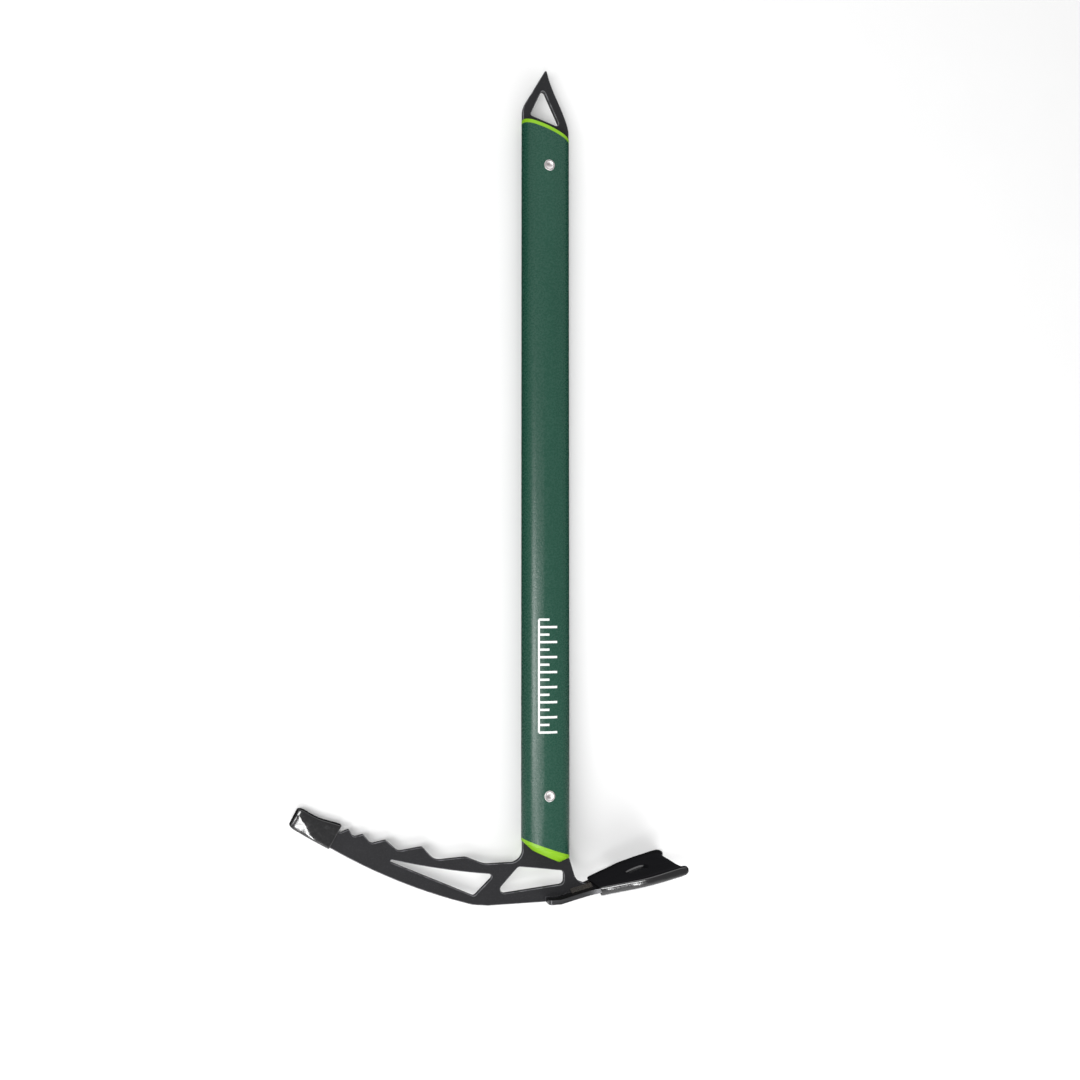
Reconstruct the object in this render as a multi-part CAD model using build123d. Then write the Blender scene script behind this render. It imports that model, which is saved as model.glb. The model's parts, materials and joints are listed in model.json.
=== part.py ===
from build123d import *
import math
import os

# Ice axe, 57 cm, with its protective caps on. Millimetres.
# +Y runs along the shaft's axis from the head to the spike, +X points from the shaft to the adze,
# -X to the pick, and XY is the mid plane of the head plate. The origin is on the shaft's axis,
# level with the head's top line.

# Overall
overall_length = 570.0
slant = 20.5              # both ends of the shaft are cut at this angle to square

# Shaft: a four-centre oval tube
shaft_width = 33.0
shaft_thickness = 23.0
shaft_side_ease = 1.0     # the sides' radius is this much less than half the thickness
shaft_wall = 1.5
head_to_shaft = 39.0      # head's top line to the shaft's head end, on the axis
spike_to_shaft = 46.0     # spike's tip to the shaft's spike end, on the axis
insert_gap = 0.05         # round each insert, inside the tube

# Head plate: pick, neck and tang in one
plate_thickness = 4.0
plate_bevel = 0.5
head_top = 2.0            # the head's top line, above the origin
pick_tip = (-164.0, 60.5)
pick_back = (-50.0, 3.2)  # where the pick's back turns down from the head's top line
pick_back_rise = (-100.0, 22.0)
pick_tip_flat = (1.0, 2.0)     # the blunt end of the tip: its run and its drop
head_top_end = -40.0      # where the head's straight top line ends, on the pick's side
neck_inset = 0.5          # the neck is this much inside each side of the shaft
neck_tail = (21.0, 15.0)  # the neck's adze side, just over the adze
notch_radius = 8.0        # neck to toothed edge
# Each tooth from the tip to the neck: its point and the point's radius, then the foot of its
# steep flank and the foot's radius
teeth = [
    ((-131.6, 56.6), 0.9, (-128.3, 51.5), 2.5),
    ((-122.1, 52.8), 0.9, (-117.2, 46.6), 3.0),
    ((-107.6, 48.4), 1.0, (-99.5, 40.8), 5.0),
    ((-83.6, 42.8), 2.0, (-75.3, 33.6), 8.0),
    ((-54.5, 34.6), 8.0, (-42.0, 29.2), 14.0),
]
tooth_foot_at_cap = (-136.2, 54.8)
cutout_corners = [(-115.0, 38.9), (-49.0, 8.8), (-34.8, 22.2)]
cutout_crown = (-78.0, 29.4)   # the cut-out's long edge bows through here
cutout_radius = 2.0
cutout_tip_radius = 0.9
clip_hole_corners = [(-36.0, 8.6), (-19.0, 26.4), (12.5, 22.0), (12.5, 13.0)]
clip_hole_radius = 3.0
tang_width = 18.0
tang_step = 0.4           # the tang is this much thinner on each side
tang_past_rivet = 12.0

# Adze: a bent plate across the head plate
adze_thickness = 3.0
adze_width = 54.0
adze_root_width = 22.0
adze_bend = 8.0           # from the shaft's axis to where the adze turns down
adze_droop = 13.5
adze_reach = 88.5         # from the shaft's axis to the cutting edge
adze_flare_start = 22.0   # from the shaft's axis to where the root starts to widen
adze_full_length = 14.0   # at full width, behind the edge's corners
adze_edge_bow = 2.5
adze_corner_radius = 4.0
adze_grind = 9.0          # length of the ground bevel behind the edge
adze_edge_thickness = 0.6
adze_hole_to_edge = 16.0
adze_hole_length = 19.0
adze_hole_root_width = 7.0
adze_hole_edge_width = 14.0
adze_hole_radius = 3.0
weld_leg = 2.5
weld_start = 10.0
weld_length = 15.0

# Spike plate
spike_tip_at = 0.4
spike_inset = 0.2         # inside each side of the shaft
# Heights on the spike plate are measured down from its tip
spike_left_flank = [(-5.7, 10.4), (-10.9, 19.4), (-14.9, 26.4)]
spike_left_foot = 33.0
spike_right_flank = [(3.7, 11.4), (9.3, 23.9), (14.2, 35.3)]
spike_right_foot = 43.0
spike_tip_radius = 0.9
spike_hole_corners = [(-2.1, 14.0), (-11.2, 33.4), (10.4, 40.4)]
spike_hole_radius = 1.6

# Moulded plugs
plug_gap = 0.1            # round the plates, in the plugs' slots
head_flange = 2.0
head_collar = 6.6
head_collar_bevel = 6.4
head_collar_slant = 25.0  # of the collar's free face
spike_flange = 2.4
insert_past_tang = 8.0

# Rivets, the same at both ends
rivet_shank = 6.0
rivet_hole_gap = 0.05
rivet_head = 7.4
rivet_head_gap = 0.05
rivet_seat = 0.7          # sunk below the crown of the shaft
rivet_proud = 0.5
rivet_round = 0.4         # round the rim of each head
rivet_dish = 5.2
rivet_dish_depth = 0.8
head_rivet_at = 34.8      # from the shaft's ends, along the axis
spike_rivet_at = 24.8

# Caps: soft dip-moulded pockets
cap_wall = 1.2
cap_gap = 0.3
pick_cap_angle = 28.7     # of the cap's axis to the head's top line
pick_cap_cover = (22.5, 8.6)   # from the pick's tip back and down to the middle of the cap's mouth
pick_cap_length = 28.0
pick_cap_end = 3.5
pick_cap_pocket = 13.6
pick_cap_radius = 3.0
adze_cap_cover = 56.5     # of the adze's length, back from its edge
# The adze cap narrows towards its mouth: each place back from the adze's edge, and how far
# its sides have come in by there
adze_cap_taper = [(24.0, 0.0), (33.5, 3.9), (45.5, 8.9)]
adze_cap_mouth_inset = 13.3
adze_cap_edge_radius = 0.7
adze_cap_end = 3.0
adze_cap_radius = 4.5

# Places worked out from the sizes above
fall = math.tan(math.radians(slant))
collar_fall = math.tan(math.radians(head_collar_slant))
shaft_low = head_to_shaft
shaft_high = overall_length - spike_to_shaft
shaft_side_radius = shaft_thickness / 2 - shaft_side_ease
neck_half_width = shaft_width / 2 - neck_inset
spike_half_width = shaft_width / 2 - spike_inset
head_rivet_y = shaft_low + head_rivet_at
spike_rivet_y = shaft_high - spike_rivet_at
half_plate = plate_thickness / 2
head_shoulder = shaft_low - head_flange
spike_shoulder = shaft_high + spike_flange
tang_thickness = plate_thickness - 2 * tang_step
shaft_crown = shaft_thickness / 2
head_tang_end = head_rivet_y + tang_past_rivet
spike_tang_end = spike_rivet_y - tang_past_rivet
adze_root_y = head_top + adze_thickness / 2
bend_plane = Plane(origin=(adze_bend, adze_root_y, 0), x_dir=(1, 0, 0), z_dir=(0, 0, 1))
droop_plane = bend_plane.rotated((0, 0, adze_droop))
droop_cos = math.cos(math.radians(adze_droop))
droop_tan = math.tan(math.radians(adze_droop))
adze_run = (adze_reach - adze_bend) / droop_cos + droop_tan * adze_thickness / 2
adze_shoulder = adze_reach - adze_edge_bow


def on_slant(height, x):
    """Height at x of a line that falls with the shaft's slanted ends and crosses the axis at height."""
    return height - fall * x


def plate(outline, thickness):
    """A flat plate on both sides of the XY plane."""
    return extrude(outline, thickness / 2, both=True)


def rounded_polygon(corners, radius):
    face = make_face(Polyline(*corners, close=True))
    return fillet(face.vertices(), radius)


def oval_face(inset):
    """The shaft's section, drawn inside its outline by inset, in a plane square to the axis."""
    a = shaft_width / 2
    b = shaft_thickness / 2
    r = shaft_side_radius
    broad = (a * a + b * b - 2 * a * r) / (2 * (b - r))
    reach = math.hypot(a - r, broad - b)
    join_x = (a - r) + (r - inset) * (a - r) / reach
    join_y = (r - inset) * (broad - b) / reach
    a = a - inset
    b = b - inset
    outline = [
        ThreePointArc((join_x, -join_y), (a, 0), (join_x, join_y)),
        ThreePointArc((join_x, join_y), (0, b), (-join_x, join_y)),
        ThreePointArc((-join_x, join_y), (-a, 0), (-join_x, -join_y)),
        ThreePointArc((-join_x, -join_y), (0, -b), (join_x, -join_y)),
    ]
    return make_face(outline)


def oval_bar(inset, low, high, low_fall=fall, high_fall=fall):
    """A bar of the shaft's section from low to high on the axis, each end cut at its own fall."""
    section = Plane(origin=(0, 0, 0), x_dir=(1, 0, 0), z_dir=(0, 1, 0)) * oval_face(inset)
    bar = extrude(section, overall_length)
    side = shaft_width
    window = Polyline(
        (-side, low + low_fall * side),
        (side, low - low_fall * side),
        (side, high - high_fall * side),
        (-side, high + high_fall * side),
        close=True,
    )
    return bar & plate(make_face(window), 2 * shaft_thickness)


def rivet_hole(y, gap):
    return Pos(0, y, 0) * Cylinder(rivet_shank / 2 + gap, 2 * shaft_thickness)


def make_shaft_tube():
    tube = oval_bar(0, shaft_low, shaft_high)
    tube -= oval_bar(shaft_wall, shaft_low - shaft_width, shaft_high + shaft_width)
    seat_radius = rivet_head / 2 + rivet_head_gap
    for y in (head_rivet_y, spike_rivet_y):
        tube -= rivet_hole(y, rivet_hole_gap)
        for side in (1, -1):
            seat_middle = side * (shaft_crown - rivet_seat + rivet_head / 2)
            tube -= Pos(0, y, seat_middle) * Cylinder(seat_radius, rivet_head)
    return tube


def make_rivet(y):
    """A shank with two dished heads, each sunk a little into the crown of the shaft."""
    head_height = rivet_seat + rivet_proud
    head_middle = shaft_crown - rivet_seat + head_height / 2
    rivet = Cylinder(rivet_shank / 2, 2 * head_middle)
    for side in (1, -1):
        head = Pos(0, 0, side * head_middle) * Cylinder(rivet_head / 2, head_height)
        rivet += head
    rivet = fillet(rivet.edges().group_by(Axis.Z)[-1], rivet_round)
    rivet = fillet(rivet.edges().group_by(Axis.Z)[0], rivet_round)
    dish_radius = ((rivet_dish / 2) ** 2 + rivet_dish_depth**2) / (2 * rivet_dish_depth)
    dish_middle = shaft_crown + rivet_proud - rivet_dish_depth + dish_radius
    for side in (1, -1):
        rivet -= Pos(0, 0, side * dish_middle) * Sphere(dish_radius)
    return Pos(0, y, 0) * rivet


def tongue(shoulder, end, gap):
    """The outline of a tang, or with a gap the slot that holds it: slanted shoulder to square end."""
    half = tang_width / 2 + gap
    past_end = end + math.copysign(gap, end - shoulder)
    outline = Polyline(
        (-half, on_slant(shoulder, -half)),
        (half, on_slant(shoulder, half)),
        (half, past_end),
        (-half, past_end),
        close=True,
    )
    return plate(make_face(outline), tang_thickness + 2 * gap)


def bevel_faces(body):
    """Break the edges of both flat faces of a plate."""
    for side in (1, -1):
        flat = body.faces().filter_by(Axis.Z).sort_by(Axis.Z)[-1 if side > 0 else 0]
        body = chamfer(flat.edges(), plate_bevel)
    return body


def bend_corner(height):
    """Where the adze's face at height from its mid plane turns from level to the droop."""
    back = math.tan(math.radians(adze_droop / 2)) * height
    return bend_plane.from_local_coords((-back, height))


def head_outline():
    """The head plate's outline: neck, toothed edge, tip, back, the seat for the adze, and the tail."""
    half = neck_half_width
    tooth_points = [tooth_foot_at_cap]
    for point, point_radius, foot, foot_radius in teeth:
        tooth_points += [point, foot]
    last_foot = teeth[-1][2]
    notch = (-half, last_foot[1])
    tip_foot = (pick_tip[0] + pick_tip_flat[0], pick_tip[1] - pick_tip_flat[1])
    tail_end = droop_plane.from_local_coords((weld_start + weld_length, adze_thickness / 2))
    bend_point = bend_corner(adze_thickness / 2)
    corners = [(-half, on_slant(head_shoulder, -half)), notch]
    corners += reversed(tooth_points)
    corners += [pick_tip]
    lines = [
        Polyline(*corners),
        Line(pick_tip, tip_foot),
        ThreePointArc(tip_foot, pick_back_rise, pick_back),
        Polyline(
            pick_back,
            (head_top_end, head_top),
            (0, head_top),
            (0, bend_point.Y),
            (bend_point.X, bend_point.Y),
            (tail_end.X, tail_end.Y),
            neck_tail,
            (half, on_slant(head_shoulder, half)),
            (-half, on_slant(head_shoulder, -half)),
        ),
    ]
    face = make_face(lines)
    return face, notch


def near(shape, point, reach=0.2):
    """The vertices of a flat outline that lie at point."""
    return [v for v in shape.vertices() if math.hypot(v.X - point[0], v.Y - point[1]) < reach]


def make_pick_blade():
    face, notch = head_outline()
    face = fillet(near(face, notch), notch_radius)
    for point, point_radius, foot, foot_radius in teeth:
        face = fillet(near(face, foot), foot_radius)
        face = fillet(near(face, point), point_radius)
    face = fillet(near(face, neck_tail), notch_radius)
    face -= cutout_face()
    face -= rounded_polygon(clip_hole_corners, clip_hole_radius)
    blade = bevel_faces(plate(face, plate_thickness))
    blade += tongue(head_shoulder, head_tang_end, 0)
    return blade - rivet_hole(head_rivet_y, rivet_hole_gap)


def cutout_face():
    """The pick's three-cornered cut-out, its long edge slightly bowed."""
    left, bottom, right = cutout_corners
    outline = [Line(left, bottom), Line(bottom, right), ThreePointArc(right, cutout_crown, left)]
    face = make_face(outline)
    face = fillet(near(face, bottom) + near(face, right), cutout_radius)
    return fillet(near(face, left), cutout_tip_radius)


def below_tip(point):
    """A point of the spike plate, from how far it lies below the tip."""
    return (point[0], overall_length - point[1])


def make_spike_blade():
    """The spike plate: two curved flanks from the tip to the shaft's sides, and a three-cornered hole."""
    half = spike_half_width
    tip = (spike_tip_at, overall_length)
    left = (-half, overall_length - spike_left_foot)
    right = (half, overall_length - spike_right_foot)
    left_shoulder = (-half, on_slant(spike_shoulder, -half))
    right_shoulder = (half, on_slant(spike_shoulder, half))
    outline = [
        Spline(tip, *[below_tip(point) for point in spike_left_flank], left),
        Polyline(left, left_shoulder, right_shoulder, right),
        Spline(right, *[below_tip(point) for point in reversed(spike_right_flank)], tip),
    ]
    face = make_face(outline)
    face = fillet(near(face, tip), spike_tip_radius)
    hole_corners = [below_tip(corner) for corner in spike_hole_corners]
    face -= rounded_polygon(hole_corners, spike_hole_radius)
    blade = bevel_faces(plate(face, plate_thickness))
    blade += tongue(spike_shoulder, spike_tang_end, 0)
    return blade - rivet_hole(spike_rivet_y, rivet_hole_gap)


def slanted_end(inset, height, end_fall):
    """The shaft's section, inside its outline by inset, on the plane of this fall at height."""
    bar = oval_bar(inset, height, height + shaft_width, low_fall=end_fall)
    return bar.faces().sort_by(Axis.Y)[0]


def make_head_plug():
    insert_end = head_tang_end + insert_past_tang
    plug = oval_bar(shaft_wall + insert_gap, shaft_low, insert_end, high_fall=0)
    plug += oval_bar(0, head_shoulder, shaft_low)
    top = slanted_end(0, head_shoulder, fall)
    bottom = slanted_end(head_collar_bevel, shaft_low - head_collar, collar_fall)
    plug += loft([top, bottom], ruled=True)
    cheek_room = oval_bar(-shaft_wall, shaft_low - 2 * head_collar, head_shoulder)
    plug -= cheek_room & Box(2 * shaft_width, 2 * overall_length, plate_thickness + 2 * plug_gap)
    plug -= tongue(head_shoulder, head_tang_end, plug_gap)
    return plug - rivet_hole(head_rivet_y, rivet_hole_gap)


def make_spike_plug():
    insert_end = spike_tang_end - insert_past_tang
    plug = oval_bar(shaft_wall + insert_gap, insert_end, shaft_high, low_fall=0)
    plug += oval_bar(0, shaft_high, spike_shoulder)
    plug -= tongue(spike_shoulder, spike_tang_end, plug_gap)
    return plug - rivet_hole(spike_rivet_y, rivet_hole_gap)


def adze_band():
    """The adze from the side: a level root, then straight down at the droop, ground thin at its edge."""
    half = adze_thickness / 2
    past_edge = adze_run + adze_grind
    root_top = bend_plane.from_local_coords((-adze_bend, half))
    root_back = bend_plane.from_local_coords((-adze_bend, -half))
    corners = [
        root_top,
        bend_corner(half),
        droop_plane.from_local_coords((past_edge, half)),
        droop_plane.from_local_coords((past_edge, half - adze_edge_thickness)),
        droop_plane.from_local_coords((adze_run, half - adze_edge_thickness)),
        droop_plane.from_local_coords((adze_run - adze_grind, -half)),
        bend_corner(-half),
        root_back,
    ]
    band = Polyline(*[(p.X, p.Y) for p in corners], close=True)
    return plate(make_face(band), adze_width)


def adze_plan():
    """The adze from above: a narrow root, a smooth flare, and a slightly bowed cutting edge."""
    root = adze_root_width / 2
    full = adze_width / 2
    start = adze_flare_start
    end = adze_shoulder - adze_full_length
    outline = [
        Polyline((start, -root), (0, -root), (0, root), (start, root)),
        Spline((start, root), (end, full), tangents=((1, 0), (1, 0))),
        Line((end, full), (adze_shoulder, full)),
        ThreePointArc((adze_shoulder, full), (adze_reach, 0), (adze_shoulder, -full)),
        Line((adze_shoulder, -full), (end, -full)),
        Spline((end, -full), (start, -root), tangents=((-1, 0), (-1, 0))),
    ]
    face = make_face(outline)
    edge_corners = near(face, (adze_shoulder, full)) + near(face, (adze_shoulder, -full))
    face = fillet(edge_corners, adze_corner_radius)
    return fillet(near(face, (0, root)) + near(face, (0, -root)), adze_corner_radius / 2)


def make_adze_blade():
    plan_plane = Plane(origin=(0, -overall_length / 4, 0), x_dir=(1, 0, 0), z_dir=(0, 1, 0))
    plan = extrude(plan_plane * adze_plan(), overall_length / 2)
    adze = adze_band() & plan
    hole_end = adze_run - adze_hole_to_edge
    hole_start = hole_end - adze_hole_length
    hole_corners = [
        (hole_start, -adze_hole_root_width / 2),
        (hole_end, -adze_hole_edge_width / 2),
        (hole_end, adze_hole_edge_width / 2),
        (hole_start, adze_hole_root_width / 2),
    ]
    hole_plane = Plane(
        origin=droop_plane.from_local_coords((0, -adze_thickness, 0)),
        x_dir=droop_plane.x_dir,
        z_dir=droop_plane.y_dir,
    )
    hole = hole_plane * rounded_polygon(hole_corners, adze_hole_radius)
    return adze - extrude(hole, 2 * adze_thickness)


def make_adze_welds():
    """Fillet beads between the tail of the head plate and the adze, one on each side."""
    beads = []
    for side in (1, -1):
        corner = Plane(
            origin=droop_plane.from_local_coords((weld_start, adze_thickness / 2, side * half_plate)),
            x_dir=(0, 0, side),
            z_dir=droop_plane.x_dir,
        )
        rise = weld_leg if corner.y_dir.Y > 0 else -weld_leg
        section = Polyline((0, 0), (weld_leg, 0), (0, rise), close=True)
        beads.append(extrude(corner * make_face(section), weld_length, dir=droop_plane.x_dir))
    return Compound(children=beads)


def make_pick_cap():
    """A flat pocket along the pick's axis, open at its mouth."""
    turn = 180 - pick_cap_angle
    height = pick_cap_pocket + 2 * cap_wall
    depth = plate_thickness + 2 * cap_gap + 2 * cap_wall
    outer = Pos(pick_cap_length / 2, 0, 0) * Box(pick_cap_length, height, depth)
    outer = fillet(outer.edges().filter_by(Axis.X), pick_cap_radius)
    outer = fillet(outer.faces().sort_by(Axis.X)[-1].edges(), pick_cap_radius / 2)
    pocket_length = pick_cap_length - pick_cap_end
    pocket = Box(pocket_length, pick_cap_pocket, plate_thickness + 2 * cap_gap)
    cap = outer - Pos(pocket_length / 2, 0, 0) * pocket
    mouth = (pick_tip[0] + pick_cap_cover[0], pick_tip[1] - pick_cap_cover[1])
    return Pos(mouth[0], mouth[1], 0) * Rot(0, 0, turn) * cap


def adze_cap_plan(end, full):
    """The cap from above: full width over the edge, then narrowing to its mouth."""
    side = [(end, full)]
    for back, inset in adze_cap_taper:
        side.append((adze_run - back, full - inset))
    side.append((adze_run - adze_cap_cover, full - adze_cap_mouth_inset))
    other_side = [(x, -across) for x, across in reversed(side)]
    return make_face(Polyline(*side, *other_side, close=True))


def make_adze_cap():
    """A flat pocket along the drooped adze, open at its mouth and along its narrowing sides."""
    mouth = adze_run - adze_cap_cover
    pocket_end = adze_run + cap_gap
    thick = adze_thickness + 2 * cap_gap
    depth = thick + 2 * cap_wall
    width = adze_width + 2 * cap_gap
    plan = adze_cap_plan(pocket_end + adze_cap_end, width / 2 + cap_wall)
    plan_plane = Plane(origin=(0, -depth / 2, 0), x_dir=(1, 0, 0), z_dir=(0, 1, 0))
    outer = extrude(plan_plane * plan, depth)
    corners = outer.edges().filter_by(Axis.Y).group_by(Axis.X)[-1]
    outer = fillet(corners, adze_cap_radius)
    outer = fillet(outer.faces().filter_by(Axis.Y).edges(), adze_cap_edge_radius)
    pocket = Pos((mouth + pocket_end) / 2, 0, 0) * Box(pocket_end - mouth, thick, width)
    return droop_plane.location * (outer - pocket)


nodes = {
    "shaft_tube": make_shaft_tube,
    "pick_blade": make_pick_blade,
    "adze_blade": make_adze_blade,
    "adze_welds": make_adze_welds,
    "head_plug": make_head_plug,
    "head_rivet": lambda: make_rivet(head_rivet_y),
    "spike_blade": make_spike_blade,
    "spike_plug": make_spike_plug,
    "spike_rivet": lambda: make_rivet(spike_rivet_y),
    "pick_cap": make_pick_cap,
    "adze_cap": make_adze_cap,
}

os.makedirs("parts", exist_ok=True)
for name, make in nodes.items():
    shape = make()
    export_step(shape, f"parts/{name}.step")
    print(name, round(shape.volume, 1))
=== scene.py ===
import json
import math

import bmesh
import bpy
from mathutils import Matrix, Vector


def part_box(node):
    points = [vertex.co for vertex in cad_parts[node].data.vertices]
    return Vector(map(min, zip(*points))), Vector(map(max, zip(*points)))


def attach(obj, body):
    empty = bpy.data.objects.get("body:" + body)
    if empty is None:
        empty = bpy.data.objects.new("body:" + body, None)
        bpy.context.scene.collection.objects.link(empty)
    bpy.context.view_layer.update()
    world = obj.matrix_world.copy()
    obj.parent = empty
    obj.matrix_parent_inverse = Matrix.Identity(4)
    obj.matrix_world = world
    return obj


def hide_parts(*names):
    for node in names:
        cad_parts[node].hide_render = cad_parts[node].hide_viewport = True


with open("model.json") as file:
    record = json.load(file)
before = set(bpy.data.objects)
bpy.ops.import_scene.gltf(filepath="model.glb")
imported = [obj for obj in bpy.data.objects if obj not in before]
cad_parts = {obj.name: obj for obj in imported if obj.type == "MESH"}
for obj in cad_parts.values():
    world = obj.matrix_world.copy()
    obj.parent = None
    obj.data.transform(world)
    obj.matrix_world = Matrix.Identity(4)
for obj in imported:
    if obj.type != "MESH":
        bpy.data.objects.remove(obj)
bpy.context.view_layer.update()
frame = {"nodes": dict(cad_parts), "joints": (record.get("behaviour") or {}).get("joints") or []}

# Finishes, rubber caps, printed scale, table, lights and camera for the ice axe. Metres.
# +Y runs up the shaft from the head to the spike, +X points to the adze, -X to the pick,
# and +Z is up from the table that the axe lies on.

near = 1e-5                    # places closer than this count as one

# Both rubber caps
cap_wall = 0.0009
skin_grain = 0.010             # size and depth of the shallow dents in the skin
skin_depth = 0.0003

# Rubber pick cap: a flat pouch over the pick's tip
pick_cap_depth = 0.0070
pick_cap_length = 0.0275
pick_cap_rings = [             # each ring: from the mouth, to its upper side, to its lower side
    (-0.0010, 0.0096, -0.0076),
    (0.0010, 0.0092, -0.0075),
    (0.0080, 0.0080, -0.0073),
    (0.0150, 0.0067, -0.0071),
    (0.0215, 0.0071, -0.0068),
    (0.0250, 0.0074, -0.0066),
    (0.0275, 0.0072, -0.0062),
]
pick_cap_edge = 0.0014         # rounding of the four long edges
pick_cap_flat = 0.003          # half width of the flat strip along each face
pick_cap_end_inset = 0.0013
pick_cap_bulge = 0.0018        # of the closed end
pick_cap_facet = (             # the two ends of the flat facet's upper edge, on each face
    (0.0120, 0.0055),
    (0.0260, -0.0030),
)
pick_cap_facet_ease = 0.0012   # width of the soft start of the facet
pick_cap_fall = 0.145          # slope of the facet, towards the lower corner of the closed end

# Rubber adze cap: a flared pouch over the adze, with a thick rim along each side
adze_cap_length = 0.0596
adze_cap_half_width = 0.0286
adze_cap_rim_depth = 0.0064
adze_cap_face_depth = 0.0049
adze_cap_rim = 0.0055          # width of each side's rim
adze_cap_rim_rise = 0.0018     # width of the step up from the face to the rim
adze_cap_corner = 0.0045
adze_cap_side_edge = 0.0020    # rounding of the rims' outer edges
adze_cap_flare = [             # back from the end, half width there
    (0.0275, 0.0279),
    (0.0375, 0.0246),
    (0.0495, 0.0196),
    (0.0596, 0.0158),
]
adze_cap_ears = 0.0014         # the rims' corners stand out past the end
adze_cap_ears_from = 0.001     # from the rim's foot outwards
adze_cap_hollow = 0.0020       # the end draws in between them
hollow_edge_share = 0.6        # this share of it from rim to rim, the rest only in the middle
hollow_half_width = 0.016      # of the middle
hollow_back = 0.0080           # the face stays straight from here back
window_start = 0.0180          # back from the end
window_end = 0.0375
window_margin = 0.003          # of plain face behind the window
window_half_width = 0.0068
window_depth = 0.0012
window_border = 0.0006
window_slope = 0.0005          # width of the window's slanting wall, and of the bead at its foot
window_foot = 0.0022           # the end towards the mouth, which is narrower
window_foot_share = 0.45       # its width, as a share of the other end's

# Printed scale on the shaft
scale_low = 0.116
scale_high = 0.191
scale_step = 0.005
mark_start = -0.0072           # where every mark starts across the shaft
mark_width = 0.0015
long_mark = 0.0125
short_mark = 0.0070
spine_start = -0.0078
spine_width = 0.0012
ink_height = 0.00004
ink_drop = 0.005               # the ink is pressed down from this far above the shaft

# Table
table_side = 6
table_gap = 0.0004             # between the table and what rests on it

# Camera
camera_place = Vector((-0.2085, 0.2109, 0.7880))
camera_aim = Vector((-0.0037, 0.2447, 0.0))
camera_lens = 40.0
film_width = 36.0

# Colours
deep_green = (0.009, 0.054, 0.034, 1)
mid_green = (0.014, 0.068, 0.044, 1)
speckle_green = (0.10, 0.19, 0.16, 1)
bare_aluminium = (0.55, 0.57, 0.58, 1)
dark_paint = (0.013, 0.013, 0.0145, 1)
grey_paint = (0.019, 0.019, 0.021, 1)
fleck_grey = (0.05, 0.05, 0.054, 1)
worn_steel = (0.16, 0.16, 0.17, 1)
# lighter grey painted on the plates' side walls as a highlight
plate_side_highlight_grey = (0.06, 0.06, 0.065, 1)
dark_steel = (0.06, 0.06, 0.063, 1)
mid_steel = (0.11, 0.11, 0.115, 1)
weld_grey = (0.05, 0.05, 0.055, 1)
weld_straw = (0.10, 0.085, 0.07, 1)
deep_lime = (0.19, 0.42, 0.006, 1)
bright_lime = (0.25, 0.51, 0.010, 1)
dull_aluminium = (0.46, 0.42, 0.42, 1)
clean_aluminium = (0.62, 0.58, 0.58, 1)
# paler aluminium painted on the rivets' rims as a highlight
rim_highlight_aluminium = (0.78, 0.77, 0.77, 1)
deep_black = (0.003, 0.003, 0.0035, 1)
soft_black = (0.006, 0.006, 0.007, 1)
dust_grey = (0.03, 0.03, 0.034, 1)
thin_ink = (0.74, 0.76, 0.75, 1)
full_ink = (0.86, 0.87, 0.86, 1)
table_grey = (0.86, 0.86, 0.86, 1)
table_white = (0.88, 0.88, 0.88, 1)
room_dark = (0.02, 0.02, 0.022, 1)
room_grey = (0.20, 0.20, 0.20, 1)
room_white = (1, 1, 1, 1)
backdrop_grey = (0.55, 0.55, 0.55, 1)


# ---------------------------------------------------------------- modelling

def clear_selection():
    """Leave no object selected."""
    for other in list(bpy.context.selected_objects):
        other.select_set(False)


def only(piece):
    """Select one object and make it the one being worked on."""
    clear_selection()
    piece.select_set(True)
    bpy.context.view_layer.objects.active = piece


def settle(piece):
    """Settle the piece's size, turn and place into its mesh."""
    only(piece)
    bpy.ops.object.transform_apply(location=True, rotation=True, scale=True)


def begin(name):
    """Name the primitive just added, and settle its size and place into its mesh."""
    piece = bpy.context.active_object
    piece.name = name
    piece.data.name = name
    settle(piece)
    return piece


def choose_points(piece, wanted):
    """In edit mode, select the vertices whose place the rule wants."""
    bpy.ops.mesh.select_mode(type="VERT")
    bpy.ops.mesh.select_all(action="DESELECT")
    shape = bmesh.from_edit_mesh(piece.data)
    for point in shape.verts:
        point.select_set(bool(wanted(point.co)))
    shape.select_flush_mode()
    bmesh.update_edit_mesh(piece.data)


def choose_faces(piece, wanted):
    """In edit mode, select the faces whose middle and normal the rule wants."""
    bpy.ops.mesh.select_mode(type="FACE")
    bpy.ops.mesh.select_all(action="DESELECT")
    shape = bmesh.from_edit_mesh(piece.data)
    for face in shape.faces:
        face.select_set(bool(wanted(face.calc_center_median(), face.normal)))
    shape.select_flush_mode()
    bmesh.update_edit_mesh(piece.data)


def choose_edges(piece, wanted):
    """In edit mode, select the edges whose two ends the rule wants."""
    bpy.ops.mesh.select_mode(type="EDGE")
    bpy.ops.mesh.select_all(action="DESELECT")
    shape = bmesh.from_edit_mesh(piece.data)
    for edge in shape.edges:
        edge.select_set(bool(wanted(edge.verts[0].co, edge.verts[1].co)))
    shape.select_flush_mode()
    bmesh.update_edit_mesh(piece.data)


def slice_at(piece, place, normal):
    """In edit mode, cut an edge loop all round where the plane crosses."""
    bpy.ops.mesh.select_all(action="SELECT")
    bpy.ops.mesh.bisect(plane_co=place, plane_no=normal)


def scale_ring(piece, place, across):
    """In edit mode, scale the ring of vertices at X = place across Y, and leave it selected."""
    choose_points(piece, lambda co: abs(co.x - place) < 2 * near)
    bpy.ops.transform.resize(value=(1, across, 1), center_override=(0, 0, 0))


def apply_modifier(piece, kind, **settings):
    """Add a modifier with these settings and apply it at once."""
    only(piece)
    modifier = piece.modifiers.new(kind, kind)
    for key, value in settings.items():
        setattr(modifier, key, value)
    bpy.ops.object.modifier_apply(modifier=modifier.name)


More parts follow.
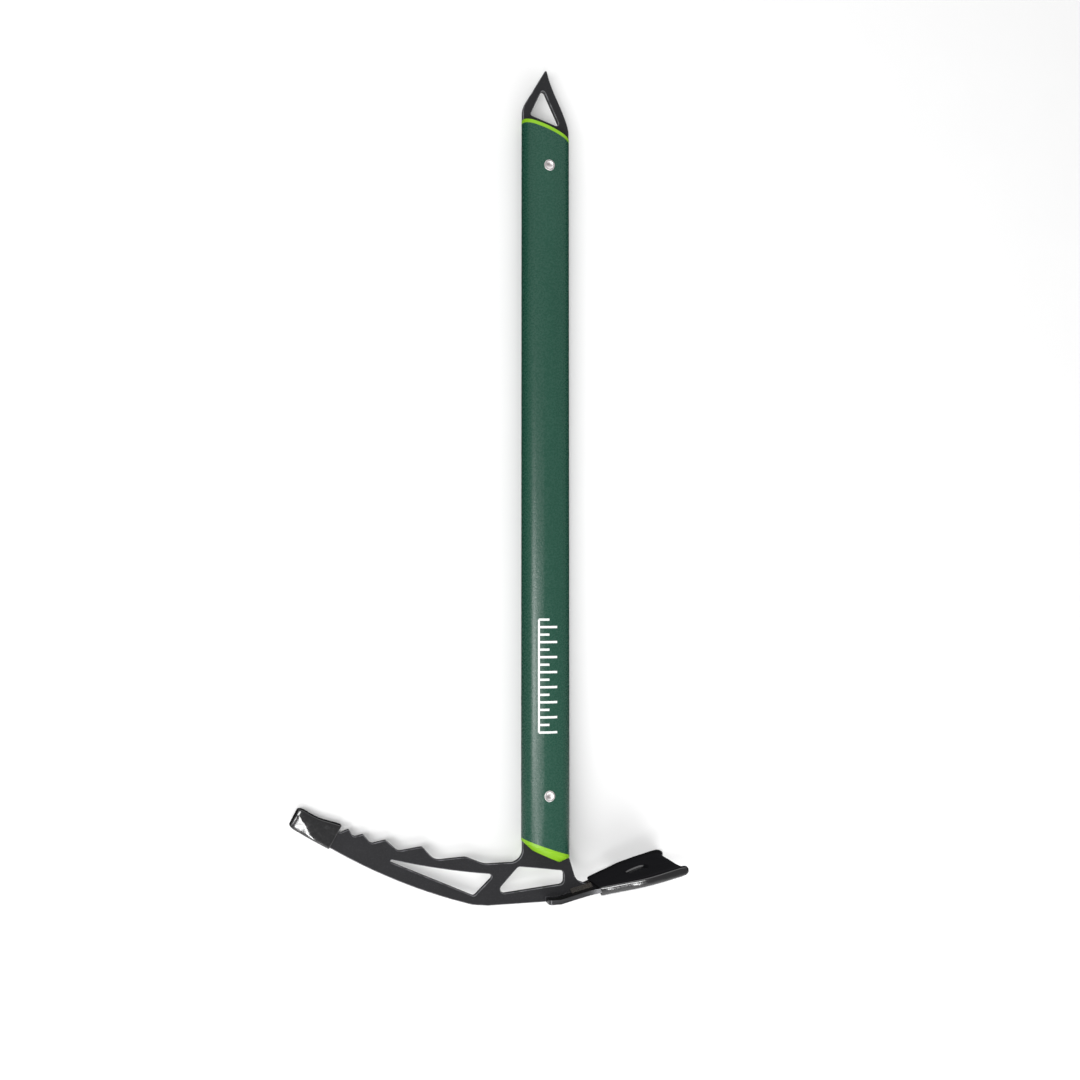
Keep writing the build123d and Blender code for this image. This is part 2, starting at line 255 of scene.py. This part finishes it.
def middle_of(node):
    """The middle of a node's box."""
    low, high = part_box(node)
    return (low + high) / 2


def joint_turn(name):
    """The angle about Z of a slide's direction."""
    axis = next(j["axis"] for j in frame["joints"] if j["name"] == name)
    return math.atan2(axis[1], axis[0])


# ---------------------------------------------------------------- materials

def new_finish(name):
    """A new material, with its node tree and its main shader."""
    finish = bpy.data.materials.new(name)
    finish.use_nodes = True
    tree = finish.node_tree
    shader = next(n for n in tree.nodes if n.type == "BSDF_PRINCIPLED")
    return finish, tree, shader


def add(tree, kind, inputs=None, **settings):
    """Add a node, with the values of its open inputs and its own settings."""
    node = tree.nodes.new(kind)
    for key, value in settings.items():
        setattr(node, key, value)
    for key, value in (inputs or {}).items():
        node.inputs[key].default_value = value
    return node


def object_place(tree, stretch=(1, 1, 1)):
    """Object coordinates, squeezed along each axis by stretch."""
    where = add(tree, "ShaderNodeTexCoord")
    mapping = add(tree, "ShaderNodeMapping", {"Scale": stretch})
    tree.links.new(where.outputs["Object"], mapping.inputs["Vector"])
    return mapping.outputs["Vector"]


def noise(tree, place, grain, detail=3.0, roughness=0.55):
    """Noise whose grain is this many metres."""
    inputs = {"Scale": 1 / grain, "Detail": detail, "Roughness": roughness}
    node = add(tree, "ShaderNodeTexNoise", inputs)
    tree.links.new(place, node.inputs["Vector"])
    return node.outputs["Fac"]


def remap(tree, value, low, high, to_low, to_high):
    """Carry a value from one range over to another, and hold it at the ends."""
    inputs = {"From Min": low, "From Max": high, "To Min": to_low, "To Max": to_high}
    node = add(tree, "ShaderNodeMapRange", inputs)
    tree.links.new(value, node.inputs["Value"])
    return node.outputs["Result"]


def maths(tree, operation, first, second):
    """One sum on two values, each a number or a socket."""
    node = add(tree, "ShaderNodeMath", operation=operation)
    for socket, value in zip(node.inputs, (first, second)):
        if isinstance(value, (int, float)):
            socket.default_value = value
        else:
            tree.links.new(value, socket)
    return node.outputs[0]


def mix_colours(tree, share, first, second):
    """first where share is 0, second where it is 1; each a colour or a socket."""
    node = add(tree, "ShaderNodeMix", data_type="RGBA")
    tree.links.new(share, node.inputs[0])
    for socket, value in ((node.inputs[6], first), (node.inputs[7], second)):
        if isinstance(value, tuple):
            socket.default_value = value
        else:
            tree.links.new(value, socket)
    return node.outputs[2]


def bump(tree, shader, heights):
    """Chain bumps: each height socket with its depth in metres."""
    last = None
    for height, depth in heights:
        node = add(tree, "ShaderNodeBump", {"Strength": 1.0, "Distance": depth})
        tree.links.new(height, node.inputs["Height"])
        if last:
            tree.links.new(last, node.inputs["Normal"])
        last = node.outputs["Normal"]
    tree.links.new(last, shader.inputs["Normal"])


def facing(tree, axis):
    """How squarely the surface faces along an axis of the piece, from 0 to 1."""
    where = add(tree, "ShaderNodeTexCoord")
    parts = add(tree, "ShaderNodeSeparateXYZ")
    tree.links.new(where.outputs["Normal"], parts.inputs[0])
    return maths(tree, "ABSOLUTE", parts.outputs[axis], 0)


def along(tree, axis):
    """The place on the piece along one axis, in metres."""
    where = add(tree, "ShaderNodeTexCoord")
    parts = add(tree, "ShaderNodeSeparateXYZ")
    tree.links.new(where.outputs["Object"], parts.inputs[0])
    return parts.outputs[axis]


def anodised_green():
    """Bead-blasted, green anodised aluminium under a clear seal, bare metal on the cut ends."""
    finish, tree, shader = new_finish("anodised green")
    place = object_place(tree)
    blast = noise(tree, place, grain=0.0012, detail=3.0, roughness=0.7)
    cloud = noise(tree, object_place(tree, (1, 0.2, 1)), grain=0.02, detail=3.0)
    green = mix_colours(tree, cloud, deep_green, mid_green)
    speck = remap(tree, blast, 0.5, 0.75, 0.0, 0.13)
    green = mix_colours(tree, speck, green, speckle_green)
    cut = remap(tree, facing(tree, "Y"), 0.80, 0.92, 0.0, 1.0)
    colour = mix_colours(tree, cut, green, bare_aluminium)
    tree.links.new(colour, shader.inputs["Base Color"])
    tree.links.new(cut, shader.inputs["Metallic"])
    tree.links.new(remap(tree, blast, 0.3, 0.7, 0.20, 0.36), shader.inputs["Roughness"])
    bump(tree, shader, [(blast, 0.00008), (cloud, 0.0001)])
    return finish


def painted_plate():
    """Dark, fine-grained paint over steel, thin and pale where the edges are broken, with a painted
    highlight lightening the side walls.
    """
    finish, tree, shader = new_finish("painted steel plate")
    shader.inputs["Specular IOR Level"].default_value = 0.15
    place = object_place(tree)
    fine = noise(tree, place, grain=0.0009, detail=4.0, roughness=0.75)
    blotch = noise(tree, place, grain=0.012, detail=3.0)
    paint = mix_colours(tree, blotch, dark_paint, grey_paint)
    flat = facing(tree, "Z")
    past_side = remap(tree, flat, 0.35, 0.6, 0.0, 1.0)
    before_face = remap(tree, flat, 0.8, 0.97, 1.0, 0.0)
    broken = maths(tree, "MULTIPLY", past_side, before_face)
    rubbed = remap(tree, noise(tree, place, grain=0.004, detail=4.0), 0.35, 0.6, 0.25, 1.0)
    worn = maths(tree, "MULTIPLY", broken, rubbed)
    paint = mix_colours(tree, remap(tree, fine, 0.5, 0.72, 0.0, 0.35), paint, fleck_grey)
    colour = mix_colours(tree, worn, paint, worn_steel)
    # Painted highlight: the plate's side walls get a lighter grey, standing in for light catching
    # them.
    side = remap(tree, flat, 0.05, 0.35, 0.6, 0.0)
    colour = mix_colours(tree, side, colour, plate_side_highlight_grey)
    tree.links.new(colour, shader.inputs["Base Color"])
    tree.links.new(remap(tree, fine, 0.3, 0.7, 0.48, 0.64), shader.inputs["Roughness"])
    bump(tree, shader, [(fine, 0.00007), (blotch, 0.0001)])
    return finish


def ground_steel():
    """Dark steel with fine grinding lines along the adze."""
    finish, tree, shader = new_finish("ground steel")
    shader.inputs["Metallic"].default_value = 1.0
    lines = noise(tree, object_place(tree, (0.04, 1, 1)), grain=0.0004, detail=2.0)
    cloud = noise(tree, object_place(tree), grain=0.01, detail=3.0)
    colour = mix_colours(tree, cloud, dark_steel, mid_steel)
    tree.links.new(colour, shader.inputs["Base Color"])
    tree.links.new(remap(tree, lines, 0.3, 0.7, 0.26, 0.44), shader.inputs["Roughness"])
    bump(tree, shader, [(lines, 0.00003)])
    return finish


def weld_bead():
    """Dull steel in even ripples, tinted a little by the heat."""
    finish, tree, shader = new_finish("weld bead")
    shader.inputs["Metallic"].default_value = 0.8
    place = object_place(tree)
    ripple_length = 0.0014
    turns = maths(tree, "MULTIPLY", along(tree, "X"), 2 * math.pi / ripple_length)
    ripple = maths(tree, "SINE", turns, 0)
    spatter = noise(tree, place, grain=0.0008, detail=4.0, roughness=0.7)
    tint = noise(tree, place, grain=0.004, detail=3.0)
    colour = mix_colours(tree, tint, weld_grey, weld_straw)
    tree.links.new(colour, shader.inputs["Base Color"])
    tree.links.new(remap(tree, spatter, 0.3, 0.7, 0.4, 0.6), shader.inputs["Roughness"])
    bump(tree, shader, [(ripple, 0.00022), (spatter, 0.0001)])
    return finish


def lime_moulding():
    """Moulded lime green nylon, lightly textured, a little deeper in tone here and there."""
    finish, tree, shader = new_finish("lime moulding")
    shader.inputs["Subsurface Weight"].default_value = 0.15
    shader.inputs["Subsurface Radius"].default_value = (0.4, 0.6, 0.1)
    shader.inputs["Subsurface Scale"].default_value = 0.001
    place = object_place(tree)
    fine = noise(tree, place, grain=0.0006, detail=3.0)
    cloud = noise(tree, place, grain=0.01, detail=2.0)
    colour = mix_colours(tree, cloud, deep_lime, bright_lime)
    tree.links.new(colour, shader.inputs["Base Color"])
    tree.links.new(remap(tree, fine, 0.3, 0.7, 0.34, 0.5), shader.inputs["Roughness"])
    bump(tree, shader, [(fine, 0.00003)])
    return finish


def turned_aluminium():
    """Turned aluminium with faint dull marks, and a painted highlight brightening each rim."""
    finish, tree, shader = new_finish("turned aluminium")
    shader.inputs["Metallic"].default_value = 1.0
    place = object_place(tree)
    fine = noise(tree, place, grain=0.0004, detail=3.0)
    smudge = noise(tree, place, grain=0.002, detail=2.0)
    colour = mix_colours(tree, smudge, dull_aluminium, clean_aluminium)
    # Painted highlight: where the surface turns away from the face, round the rims, it is brightened
    # towards a paler aluminium.
    edge = remap(tree, facing(tree, "Z"), 0.86, 0.97, 1.0, 0.0)
    colour = mix_colours(tree, edge, colour, rim_highlight_aluminium)
    tree.links.new(colour, shader.inputs["Base Color"])
    tree.links.new(remap(tree, fine, 0.3, 0.7, 0.38, 0.52), shader.inputs["Roughness"])
    bump(tree, shader, [(fine, 0.00003)])
    return finish


def dipped_rubber():
    """Black, glossy dip-moulded rubber with a slightly wavy skin and a little dust."""
    finish, tree, shader = new_finish("dipped black rubber")
    shader.inputs["Specular IOR Level"].default_value = 1.0
    place = object_place(tree)
    fine = noise(tree, place, grain=0.0015, detail=2.0)
    wave = noise(tree, place, grain=0.009, detail=2.0)
    grit = noise(tree, place, grain=0.0014, detail=5.0, roughness=0.8)
    dust = remap(tree, grit, 0.64, 0.74, 0.0, 0.3)
    black = mix_colours(tree, wave, deep_black, soft_black)
    tree.links.new(mix_colours(tree, dust, black, dust_grey), shader.inputs["Base Color"])
    tree.links.new(remap(tree, fine, 0.3, 0.7, 0.10, 0.20), shader.inputs["Roughness"])
    bump(tree, shader, [(wave, 0.00015), (fine, 0.000006)])
    return finish


def screen_print():
    """White ink, slightly thin in places over the blasted metal."""
    finish, tree, shader = new_finish("white ink")
    fine = noise(tree, object_place(tree), grain=0.0007, detail=4.0, roughness=0.7)
    ink = mix_colours(tree, remap(tree, fine, 0.35, 0.7, 0.0, 1.0), thin_ink, full_ink)
    tree.links.new(ink, shader.inputs["Base Color"])
    tree.links.new(remap(tree, fine, 0.3, 0.7, 0.4, 0.55), shader.inputs["Roughness"])
    bump(tree, shader, [(fine, 0.00004)])
    return finish


def pale_table():
    """Matt, nearly white table top."""
    finish, tree, shader = new_finish("pale table")
    soft = noise(tree, object_place(tree), grain=0.05, detail=2.0)
    tree.links.new(mix_colours(tree, soft, table_grey, table_white), shader.inputs["Base Color"])
    shader.inputs["Roughness"].default_value = 0.9
    return finish


def give(piece, finish):
    """One finish all over the piece."""
    piece.data.materials.clear()
    piece.data.materials.append(finish)


def refinish(node, finish):
    """A better finish in each of a carried-over node's material slots."""
    for place in frame["nodes"][node].material_slots:
        place.material = finish


# ---------------------------------------------------------------- caps

def dent(piece):
    """Shallow dents and swellings all over the skin."""
    skin = bpy.data.textures.new(piece.name + "_skin", "CLOUDS")
    skin.noise_scale = skin_grain
    apply_modifier(piece, "DISPLACE", texture=skin, strength=skin_depth, mid_level=0.5)


def open_mouth(cap, wanted):
    """Turn the closed pouch's faces outwards, then take away those of its mouth."""
    bpy.ops.mesh.select_all(action="SELECT")
    bpy.ops.mesh.normals_make_consistent(inside=False)
    choose_faces(cap, wanted)
    bpy.ops.mesh.delete(type="FACE")


def finish_cap(cap, finish):
    """Give the pouch a thin wall, smooth it, and dent it a little."""
    apply_modifier(cap, "SOLIDIFY", thickness=cap_wall, offset=-1.0)
    apply_modifier(cap, "SUBSURF", levels=3, render_levels=3)
    dent(cap)
    bpy.ops.object.shade_smooth()
    give(cap, finish)


def seat_cap(cap, node, slide, end):
    """Turn the cap to its slide, and move its origin to one end of its node: 1 ahead, -1 behind."""
    turn = joint_turn(slide)
    direction = Vector((math.cos(turn), math.sin(turn), 0))
    cap.rotation_euler = (0, 0, turn)
    cap.location = middle_of(node) + end * direction * cad_length(node, turn) / 2
    settle(cap)


def make_pick_cap(finish):
    """A flat pouch with a bulging closed end, a wider mouth, and faces drawn in at one corner."""
    first, mouth_half_width, _ = pick_cap_rings[0]
    length = pick_cap_length - first
    clear_selection()
    bpy.ops.mesh.primitive_cube_add(
        size=1,
        location=(first + length / 2, 0, 0),
        scale=(length, 2 * mouth_half_width, pick_cap_depth),
    )
    cap = begin("rubber_pick_cap")
    bpy.ops.object.mode_set(mode="EDIT")
    choose_edges(cap, lambda a, b: abs(a.x - b.x) > length / 2)
    bpy.ops.mesh.bevel(offset=pick_cap_edge, segments=2, profile=0.6)
    for place, _, _ in pick_cap_rings[1:-1]:
        slice_at(cap, (place, 0, 0), (1, 0, 0))
    slice_at(cap, (0, pick_cap_flat, 0), (0, 1, 0))
    slice_at(cap, (0, -pick_cap_flat, 0), (0, 1, 0))
    for place, upper, lower in pick_cap_rings:
        half = (upper - lower) / 2
        scale_ring(cap, place, half / mouth_half_width)
        bpy.ops.transform.translate(value=(0, -(upper + lower) / 2, 0))
    draw_in_corner(cap)
    choose_faces(cap, lambda middle, normal: normal.x > 0.9)
    bpy.ops.mesh.inset(thickness=pick_cap_end_inset)
    bpy.ops.transform.translate(value=(pick_cap_bulge, 0, 0))
    open_mouth(cap, lambda middle, normal: normal.x < -0.9)
    bpy.ops.object.mode_set(mode="OBJECT")
    finish_cap(cap, finish)
    seat_cap(cap, "pick_cap", "pick_cap_slide", -1)
    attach(cap, "pick_cap")
    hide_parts("pick_cap")


def draw_in_corner(cap):
    """Slope each face from a slanting line down to the lower corner of the closed end."""
    start, end = (Vector(point) for point in pick_cap_facet)
    down = Vector((start.y - end.y, end.x - start.x)).normalized()
    for reach in (0.0, pick_cap_facet_ease):
        foot = start + down * reach
        slice_at(cap, (foot.x, foot.y, 0), (down.x, down.y, 0))
    shape = bmesh.from_edit_mesh(cap.data)
    reaches = [down.dot(point.co.xy - start) for point in shape.verts]
    for reach in sorted({round(reach, 5) for reach in reaches if reach > 10 * near}):
        for up in (1, -1):
            choose_points(
                cap,
                lambda co: co.z * up > pick_cap_depth / 4
                and abs(down.dot(co.xy - start) - reach) < 0.6 * near,
            )
            bpy.ops.transform.translate(value=(0, 0, -up * pick_cap_fall * reach))


def cad_length(node, turn):
    """Length of a capped node along its slide, from its box at that turn."""
    low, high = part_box(node)
    span = high - low
    cosine = abs(math.cos(turn))
    sine = abs(math.sin(turn))
    return (span.x * cosine - span.y * sine) / (cosine**2 - sine**2)


def make_adze_cap(finish):
    """A pouch that flares with the adze, with thick side rims, ears and a sunk window each side."""
    half = adze_cap_half_width
    rim_foot = half - adze_cap_rim
    clear_selection()
    bpy.ops.mesh.primitive_cube_add(
        size=1,
        location=(-adze_cap_length / 2, 0, 0),
        scale=(adze_cap_length, 2 * half, adze_cap_rim_depth),
    )
    cap = begin("rubber_adze_cap")
    bpy.ops.object.mode_set(mode="EDIT")
    choose_edges(cap, lambda a, b: min(a.x, b.x) > -near and abs(a.z - b.z) > adze_cap_rim_depth / 2)
    bpy.ops.mesh.bevel(offset=adze_cap_corner, segments=3)
    choose_edges(
        cap,
        lambda a, b: min(abs(a.y), abs(b.y)) > half - near and abs(a.x - b.x) > adze_cap_length / 2,
    )
    bpy.ops.mesh.bevel(offset=adze_cap_side_edge, segments=2)
    for back in (hollow_back, window_start, window_end + window_margin):
        slice_at(cap, (-back, 0, 0), (1, 0, 0))
    for back, _ in adze_cap_flare[:-1]:
        slice_at(cap, (-back, 0, 0), (1, 0, 0))
    for side in (-1, 1):
        for across in (window_half_width, hollow_half_width, rim_foot, rim_foot + adze_cap_rim_rise):
            slice_at(cap, (0, side * across, 0), (0, 1, 0))
    choose_points(cap, lambda co: abs(co.y) < rim_foot + near)
    thin = adze_cap_face_depth / adze_cap_rim_depth
    bpy.ops.transform.resize(value=(1, 1, thin), center_override=(0, 0, 0))
    sink_windows(cap)
    flare = [(0.0, half)] + adze_cap_flare
    for (back, reach), (next_back, next_reach) in zip(flare, flare[1:]):
        narrow_between(cap, back, reach, next_back, next_reach)
    shape_end(cap, rim_foot)
    open_mouth(cap, lambda middle, normal: normal.x < -0.9 and middle.x < -adze_cap_length + 10 * near)
    bpy.ops.object.mode_set(mode="OBJECT")
    finish_cap(cap, finish)
    cap.rotation_euler = (math.radians(-90), 0, 0)
    settle(cap)
    seat_cap(cap, "adze_cap", "adze_cap_slide", 1)
    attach(cap, "adze_cap")
    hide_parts("adze_cap")


def shape_end(cap, rim_foot):
    """Draw the end in between the rims, deeper in the middle, and push the rims' corners out."""
    choose_points(cap, lambda co: co.x > -near and abs(co.y) < rim_foot + near)
    bpy.ops.transform.translate(value=(-adze_cap_hollow * hollow_edge_share, 0, 0))
    choose_points(
        cap,
        lambda co: co.x > -1.5 * adze_cap_hollow and abs(co.y) < hollow_half_width + 10 * near,
    )
    bpy.ops.transform.translate(value=(-adze_cap_hollow * (1 - hollow_edge_share), 0, 0))
    ears_start = rim_foot + adze_cap_ears_from
    choose_points(cap, lambda co: co.x > -adze_cap_corner - near and abs(co.y) > ears_start)
    bpy.ops.transform.translate(value=(adze_cap_ears, 0, 0))


def sink_windows(cap):
    """Press a wedge-shaped panel into each face, narrow towards the mouth."""
    for up in (1, -1):
        choose_faces(
            cap,
            lambda middle, normal: normal.z * up > 0.9
            and -window_end < middle.x < -window_start
            and abs(middle.y) < window_half_width,
        )
        bpy.ops.mesh.inset(thickness=window_border)
        bpy.ops.mesh.inset(thickness=window_slope)
        bpy.ops.transform.translate(value=(0, 0, -up * window_depth))
        bpy.ops.mesh.inset(thickness=window_slope)
        choose_points(
            cap,
            lambda co: co.z * up > 0
            and abs(co.x + window_end) < window_foot
            and abs(co.y) < window_half_width + near,
        )
        bpy.ops.transform.resize(value=(1, window_foot_share, 1), center_override=(0, 0, 0))


def narrow_between(cap, back, reach, next_back, next_reach):
    """Scale the rings from one station up to the next to their half widths."""
    shape = bmesh.from_edit_mesh(cap.data)
    places = [point.co.x for point in shape.verts]
    for place in sorted({round(x, 5) for x in places if -next_back - near <= x < -back - near}):
        share = (-place - back) / (next_back - back)
        scale_ring(cap, place, (reach + (next_reach - reach) * share) / adze_cap_half_width)


# ---------------------------------------------------------------- printed scale

def make_scale(finish):
    """White half-centimetre marks wrapped on the shaft's upper face, joined to one piece."""
    marks = []
    count = round((scale_high - scale_low) / scale_step)
    for number in range(count + 1):
        reach = long_mark if number % 2 == 0 else short_mark
        corner = (mark_start, scale_low + number * scale_step)
        marks.append(printed_bar(number, corner, (reach, mark_width)))
    spine = (spine_width, scale_high - scale_low)
    marks.append(printed_bar("spine", (spine_start, scale_low), spine, upright=True))
    clear_selection()
    for mark in marks:
        mark.select_set(True)
    bpy.context.view_layer.objects.active = marks[0]
    bpy.ops.object.join()
    scale = bpy.context.active_object
    scale.name = "printed_scale"
    scale.data.name = "printed_scale"
    give(scale, finish)
    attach(scale, "axe")


def printed_bar(label, corner, size, upright=False):
    """A thin bar of ink laid on the shaft: a grid pressed down on it and given a little height.

    An upright bar starts at its corner, and one that lies across has its corner at half its width.
    """
    clear_selection()
    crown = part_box("shaft_tube")[1].z
    cuts = (1, 40) if upright else (14, 1)
    middle_y = corner[1] + size[1] / 2 if upright else corner[1]
    bpy.ops.mesh.primitive_grid_add(
        x_subdivisions=cuts[0],
        y_subdivisions=cuts[1],
        size=1,
        location=(corner[0] + size[0] / 2, middle_y, crown + ink_drop),
    )
    bpy.context.active_object.scale = (size[0], size[1], 1)
    bar = begin(f"printed_mark_{label}")
    apply_modifier(
        bar,
        "SHRINKWRAP",
        target=frame["nodes"]["shaft_tube"],
        wrap_method="PROJECT",
        use_project_z=True,
        use_negative_direction=True,
        use_positive_direction=False,
        offset=ink_height,
    )
    apply_modifier(bar, "SOLIDIFY", thickness=ink_height, offset=1.0)
    return bar


# ---------------------------------------------------------------- table, light, camera

def make_table(finish):
    """A table top that the adze cap, the pick cap and the shaft's spike end all touch."""
    shaft_low, shaft_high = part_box("shaft_tube")
    pick_low, pick_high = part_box("pick_cap")
    adze_low, adze_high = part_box("adze_cap")
    rests = [
        Vector((0, shaft_high.y, shaft_low.z)),
        Vector((pick_low.x, pick_high.y, pick_low.z)),
        Vector((adze_high.x, adze_high.y, adze_low.z)),
    ]
    up = (rests[1] - rests[0]).cross(rests[2] - rests[0]).normalized()
    if up.z < 0:
        up = -up
    middle = sum(rests, Vector()) / 3
    clear_selection()
    bpy.ops.mesh.primitive_plane_add(
        size=table_side,
        location=middle - up * table_gap,
        rotation=up.to_track_quat("Z", "Y").to_euler(),
    )
    table = begin("table_top")
    give(table, finish)
    table.visible_glossy = False
    table.visible_diffuse = False


def soft_light(name, target, direction, distance, size, power):
    """A rectangular soft box that faces the target."""
    place = Vector(target) + Vector(direction).normalized() * distance
    turn = (Vector(target) - place).to_track_quat("-Z", "Y").to_euler()
    clear_selection()
    bpy.ops.object.light_add(type="AREA", location=place, rotation=turn)
    light = bpy.context.active_object
    light.name = name
    light.data.shape = "RECTANGLE"
    light.data.size = size[0]
    light.data.size_y = size[1]
    light.data.energy = power
    light.visible_camera = False


def pale_room(brightness):
    """Two pale ends of a studio, beyond the head and beyond the spike, and dim walls between them."""
    room = bpy.data.worlds.new("pale room")
    room.use_nodes = True
    tree = room.node_tree
    backdrop = next(n for n in tree.nodes if n.type == "BACKGROUND")
    where = add(tree, "ShaderNodeTexCoord")
    parts = add(tree, "ShaderNodeSeparateXYZ")
    tree.links.new(where.outputs["Generated"], parts.inputs[0])
    head_end = remap(tree, parts.outputs["Y"], -0.30, -0.60, 0.0, 1.0)
    spike_end = remap(tree, parts.outputs["Y"], 0.35, 0.70, 0.0, 1.0)
    above = remap(tree, parts.outputs["Z"], 0.0, 0.15, 0.0, 1.0)
    floor_end = remap(tree, parts.outputs["Y"], -0.12, -0.35, 0.0, 1.0)
    floor_end = maths(tree, "MULTIPLY", floor_end, maths(tree, "SUBTRACT", 1.0, above))
    bright = maths(tree, "MAXIMUM", head_end, maths(tree, "MULTIPLY", spike_end, above))
    bright = maths(tree, "MAXIMUM", bright, floor_end)
    dim = mix_colours(tree, above, room_dark, room_grey)
    shade = mix_colours(tree, bright, dim, room_white)
    seen = add(tree, "ShaderNodeLightPath").outputs["Is Camera Ray"]
    tree.links.new(mix_colours(tree, seen, shade, backdrop_grey), backdrop.inputs["Color"])
    backdrop.inputs["Strength"].default_value = brightness
    bpy.context.scene.world = room


def set_camera():
    """Looking down at the axe from the pick's side."""
    back = (camera_place - camera_aim).normalized()
    right = Vector((0, 1, 0)).cross(back).normalized()
    up = back.cross(right)
    clear_selection()
    bpy.ops.object.camera_add()
    camera = bpy.context.active_object
    camera.matrix_world = Matrix(
        (
            (right.x, up.x, back.x, camera_place.x),
            (right.y, up.y, back.y, camera_place.y),
            (right.z, up.z, back.z, camera_place.z),
            (0, 0, 0, 1),
        )
    )
    camera.data.lens = camera_lens
    camera.data.sensor_width = film_width
    camera.data.clip_start = 0.01
    bpy.context.scene.camera = camera


clear_selection()
plate_paint = painted_plate()
aluminium = turned_aluminium()
steel = ground_steel()
lime = lime_moulding()
rubber = dipped_rubber()
refinish("shaft_tube", anodised_green())
refinish("pick_blade", plate_paint)
refinish("spike_blade", plate_paint)
refinish("adze_blade", steel)
refinish("adze_welds", weld_bead())
refinish("head_plug", lime)
refinish("spike_plug", lime)
refinish("head_rivet", aluminium)
refinish("spike_rivet", aluminium)

make_pick_cap(rubber)
make_adze_cap(rubber)
make_scale(screen_print())
make_table(pale_table())

soft_light(
    "key_box",
    target=(0, 0.075, 0),
    direction=(-0.515, 0, 0.857),
    distance=1.3,
    size=(0.34, 0.75),
    power=9,
)
soft_light(
    "head_box",
    target=middle_of("adze_cap"),
    direction=(0.37, -0.92, 0.02),
    distance=1.1,
    size=(0.8, 0.7),
    power=11,
)
soft_light(
    "cap_box",
    target=middle_of("pick_cap"),
    direction=(-0.165, -0.335, 0.927),
    distance=1.3,
    size=(0.2, 0.2),
    power=2.5,
)
pale_room(brightness=1.6)
bpy.context.scene.view_settings.view_transform = "Standard"
set_camera()
